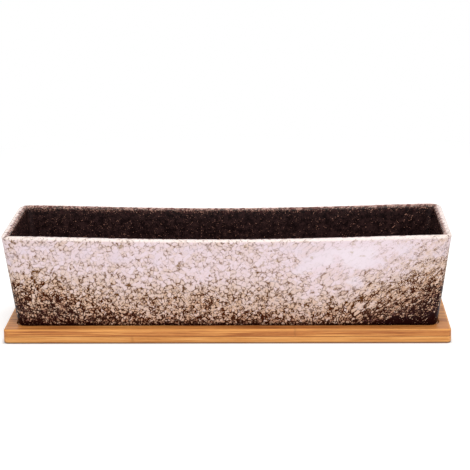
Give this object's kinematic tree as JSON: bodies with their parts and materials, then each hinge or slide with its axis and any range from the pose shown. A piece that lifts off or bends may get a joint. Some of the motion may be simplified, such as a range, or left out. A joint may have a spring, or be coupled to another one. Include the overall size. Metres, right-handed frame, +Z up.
{
  "type": "rectangular planter",
  "caption": "Long rectangular ceramic planter with tapered walls and a flowing two-tone glaze, standing in the shallow seat of a laminated bamboo tray.",
  "frame": {"origin": "middle of the tray's underside, on the surface that the planter stands on", "axes": "+X along the length of the planter, +Z up, -Y towards the viewer of the picture"},
  "size_m": [0.275, 0.083, 0.0675],
  "materials": {
    "glaze": "glossy flowing glaze, pale pink over speckled dark brown",
    "bamboo_upper": "satin oiled bamboo, toasted",
    "bamboo_lower": "satin oiled bamboo, lighter",
    "net": "moulded net, matte"
  },
  "bodies": {
    "tray": {"tray_upper_strip_1": "bamboo_upper", "tray_upper_strip_2": "bamboo_upper", "tray_upper_strip_3": "bamboo_upper", "tray_upper_strip_4": "bamboo_upper", "tray_lower_strip_1": "bamboo_lower", "tray_lower_strip_2": "bamboo_lower", "tray_lower_strip_3": "bamboo_lower", "tray_lower_strip_4": "bamboo_lower", "tray_lower_strip_5": "bamboo_lower"},
    "pot": {"pot": "glaze"},
    "net_left": {"drain_net_left": "net"},
    "net_middle": {"drain_net_middle": "net"},
    "net_right": {"drain_net_right": "net"}
  },
  "joints": [
    {"name": "pot_lift", "type": "slide", "parent": "tray", "child": "pot", "axis": [0, 0, 1], "range_m": [0, 0.1]},
    {"name": "net_left_lift", "type": "slide", "parent": "pot", "child": "net_left", "axis": [0, 0, 1], "range_m": [0, 0.08]},
    {"name": "net_middle_lift", "type": "slide", "parent": "pot", "child": "net_middle", "axis": [0, 0, 1], "range_m": [0, 0.08]},
    {"name": "net_right_lift", "type": "slide", "parent": "pot", "child": "net_right", "axis": [0, 0, 1], "range_m": [0, 0.08]}
  ]
}
